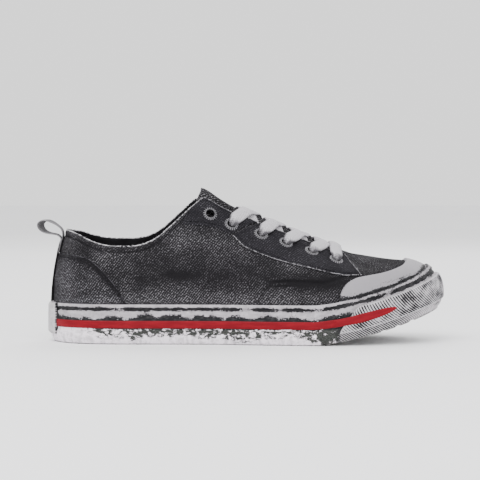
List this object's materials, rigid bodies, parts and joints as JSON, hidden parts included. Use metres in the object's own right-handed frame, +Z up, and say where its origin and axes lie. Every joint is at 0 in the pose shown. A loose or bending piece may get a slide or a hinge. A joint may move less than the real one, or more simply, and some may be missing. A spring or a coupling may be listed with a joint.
{
  "type": "worn low-top sneaker",
  "caption": "Worn low-top canvas sneaker, right shoe, with dirty off-white rubber sole and toe guard, red side stripe, grey laces and heel pull loop.",
  "frame": {"origin": "on the floor, under the middle of the shoe's bounding box", "axes": "+X from heel to toe, +Y to the inner (medial) side of the foot, +Z up from the floor"},
  "size_m": [0.3116, 0.1106, 0.1165],
  "materials": {
    "canvas": "worn dark grey denim-like twill, dirty",
    "canvas_facing": "the same canvas, darker, with frayed pale edges",
    "canvas_counter": "the same canvas, faded at the heel",
    "canvas_tongue": "the same canvas with a rough cut edge",
    "webbing": "grey cotton webbing",
    "lace_cotton": "flat cotton lace, soiled off-white",
    "insole_fabric": "dark textile over foam",
    "foxing_rubber": "off-white rubber, scuffed, with dark worn patches",
    "bumper_rubber": "off-white rubber with fine slanting ribs, dirt between them",
    "heel_patch_rubber": "off-white rubber, scuffed",
    "toe_cap_rubber": "smooth light grey rubber, blotched at its lower edge",
    "red_rubber": "dull red rubber strip",
    "outsole_rubber": "off-white rubber, dirty at the tread",
    "eyelet_metal": "dull silver-grey eyelets"
  },
  "bodies": {
    "root": {"eyelet_lateral_1": "eyelet_metal", "eyelet_lateral_2": "eyelet_metal", "eyelet_lateral_3": "eyelet_metal", "eyelet_lateral_4": "eyelet_metal", "eyelet_lateral_5": "eyelet_metal", "eyelet_lateral_6": "eyelet_metal", "facing_top_lateral": "canvas_facing", "facing_front_lateral": "canvas_facing", "stripe_lateral": "red_rubber", "eyelet_medial_1": "eyelet_metal", "eyelet_medial_2": "eyelet_metal", "eyelet_medial_3": "eyelet_metal", "eyelet_medial_4": "eyelet_metal", "eyelet_medial_5": "eyelet_metal", "eyelet_medial_6": "eyelet_metal", "facing_top_medial": "canvas_facing", "facing_front_medial": "canvas_facing", "stripe_medial": "red_rubber", "upper": "canvas", "counter": "canvas_counter", "toe_cap": "toe_cap_rubber", "tongue": "canvas_tongue", "lace": "lace_cotton", "pull_loop": "webbing", "foxing": "foxing_rubber", "toe_bumper": "bumper_rubber", "heel_patch": "heel_patch_rubber", "outsole": "outsole_rubber", "insole": "insole_fabric"}
  },
  "joints": []
}
